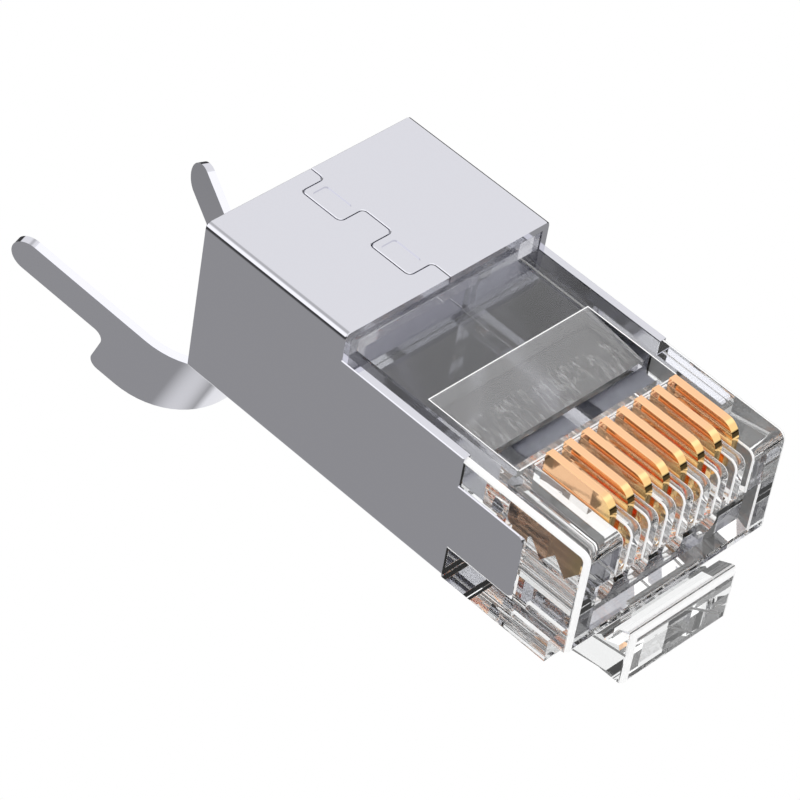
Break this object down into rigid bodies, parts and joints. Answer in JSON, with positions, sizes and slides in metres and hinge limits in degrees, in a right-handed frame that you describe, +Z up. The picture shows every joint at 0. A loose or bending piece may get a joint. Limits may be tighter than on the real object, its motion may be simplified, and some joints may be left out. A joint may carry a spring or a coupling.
{
  "type": "shielded modular plug",
  "caption": "Clear modular plug with a row of gold blade contacts, a folded metal shield, a crimp tail for the cable and a sprung latch.",
  "frame": {"origin": "middle of the nose's front plane, at the level of the flat underside", "axes": "+X across the plug towards contact 1, +Y from the nose back to the cable, +Z up from the underside to the contacts"},
  "size_m": [0.0121, 0.035, 0.0157],
  "materials": {
    "clear_plastic": "gloss",
    "plated_sheet": "satin",
    "gold_plate": "polished"
  },
  "bodies": {
    "plug": {"plug_body": "clear_plastic", "shield": "plated_sheet"},
    "latch": {"latch_tab": "clear_plastic"},
    "contact_1_body": {"contact_1": "gold_plate"},
    "contact_2_body": {"contact_2": "gold_plate"},
    "contact_3_body": {"contact_3": "gold_plate"},
    "contact_4_body": {"contact_4": "gold_plate"},
    "contact_5_body": {"contact_5": "gold_plate"},
    "contact_6_body": {"contact_6": "gold_plate"},
    "contact_7_body": {"contact_7": "gold_plate"},
    "contact_8_body": {"contact_8": "gold_plate"}
  },
  "joints": [
    {"name": "latch_flex", "type": "hinge", "parent": "plug", "child": "latch", "pos_m": [0, 0.0003, 0.00045], "axis": [1, 0, 0], "range_deg": [0, 11], "stiffness_Nm_per_rad": 0.06},
    {"name": "contact_1_crimp", "type": "slide", "parent": "plug", "child": "contact_1_body", "axis": [0, 0, -1], "range_m": [0, 0.00148]},
    {"name": "contact_2_crimp", "type": "slide", "parent": "plug", "child": "contact_2_body", "axis": [0, 0, -1], "range_m": [0, 0.00148]},
    {"name": "contact_3_crimp", "type": "slide", "parent": "plug", "child": "contact_3_body", "axis": [0, 0, -1], "range_m": [0, 0.00148]},
    {"name": "contact_4_crimp", "type": "slide", "parent": "plug", "child": "contact_4_body", "axis": [0, 0, -1], "range_m": [0, 0.00148]},
    {"name": "contact_5_crimp", "type": "slide", "parent": "plug", "child": "contact_5_body", "axis": [0, 0, -1], "range_m": [0, 0.00148]},
    {"name": "contact_6_crimp", "type": "slide", "parent": "plug", "child": "contact_6_body", "axis": [0, 0, -1], "range_m": [0, 0.00148]},
    {"name": "contact_7_crimp", "type": "slide", "parent": "plug", "child": "contact_7_body", "axis": [0, 0, -1], "range_m": [0, 0.00148]},
    {"name": "contact_8_crimp", "type": "slide", "parent": "plug", "child": "contact_8_body", "axis": [0, 0, -1], "range_m": [0, 0.00148]}
  ]
}
